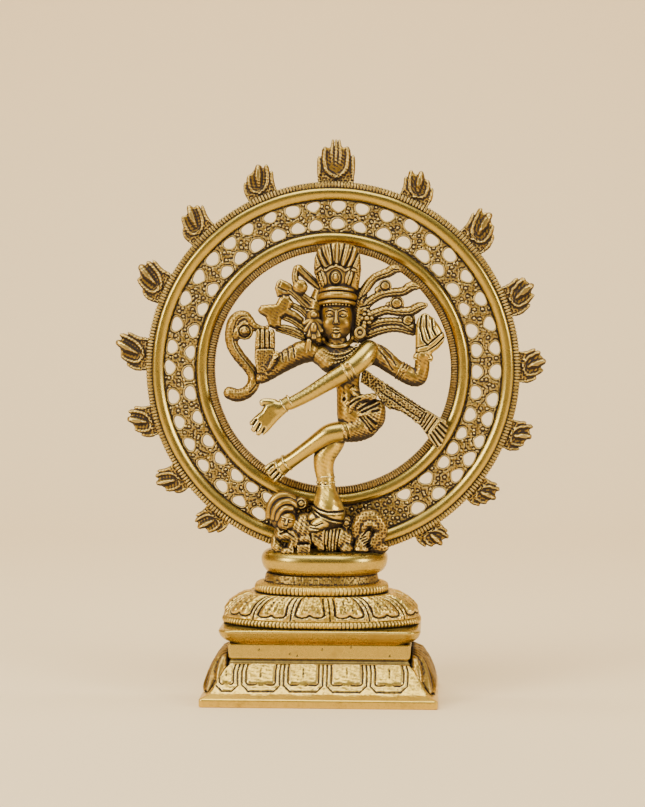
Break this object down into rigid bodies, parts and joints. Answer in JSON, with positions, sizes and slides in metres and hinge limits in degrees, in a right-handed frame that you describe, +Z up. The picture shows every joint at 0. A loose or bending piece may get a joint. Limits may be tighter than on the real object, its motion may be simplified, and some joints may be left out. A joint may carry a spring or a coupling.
{
  "type": "brass nataraja statue",
  "caption": "Cast brass dancing nataraja inside a pierced ring of flames, standing on a dwarf, an oval seat and a lotus pedestal.",
  "frame": {"origin": "middle of the statue's bounding box, on the surface under the foot", "axes": "+Z up, the dancer faces -Y, +X to the right of someone looking at the dancer's face"},
  "size_m": [0.1937, 0.066, 0.2494],
  "materials": {
    "polished_brass": "hand polished, slight brown film",
    "satin_brass": "satin with dark antique patina in the recesses",
    "textured_brass": "punched matt ground with dark patina",
    "steel_fastener": "plain zinc grey"
  },
  "bodies": {
    "root": {"pedestal_foot": "polished_brass", "pedestal_waist": "polished_brass", "lotus_slab": "polished_brass", "lotus_lower_bead_band": "satin_brass", "lotus_dome": "satin_brass", "lotus_upper_bead_band": "satin_brass", "neck": "textured_brass", "seat": "polished_brass", "assembly_stud": "steel_fastener", "assembly_washer": "steel_fastener", "assembly_nut": "steel_fastener", "ring_inner_bead_band": "textured_brass", "ring_inner_rail": "polished_brass", "ring_openwork_web": "textured_brass", "ring_outer_rail": "polished_brass", "ring_outer_rim": "textured_brass", "flame_01": "satin_brass", "flame_02": "satin_brass", "flame_03": "satin_brass", "flame_04": "satin_brass", "flame_05": "satin_brass", "flame_06": "satin_brass", "flame_07": "satin_brass", "flame_08": "satin_brass", "flame_09": "satin_brass", "flame_10": "satin_brass", "flame_11": "satin_brass", "flame_12": "satin_brass", "flame_13": "satin_brass", "flame_14": "satin_brass", "flame_15": "satin_brass", "torso": "satin_brass", "head": "satin_brass", "crown": "polished_brass", "necklace": "satin_brass", "ear_ornament_left": "satin_brass", "ear_ornament_right": "satin_brass", "hair_locks_left": "satin_brass", "hair_locks_right": "satin_brass", "waist_cloth": "satin_brass", "sash": "textured_brass", "raised_palm_arm": "satin_brass", "cobra": "satin_brass", "crossing_arm": "polished_brass", "armlet": "satin_brass", "wrist_band": "polished_brass", "flame_arm": "satin_brass", "armlet_flame_arm": "satin_brass", "held_flame": "polished_brass", "raised_leg": "polished_brass", "anklet_raised_leg": "polished_brass", "standing_leg": "satin_brass", "anklet_standing_leg": "satin_brass", "dwarf_head": "satin_brass", "dwarf_body": "satin_brass", "dwarf_legs": "satin_brass"}
  },
  "joints": []
}
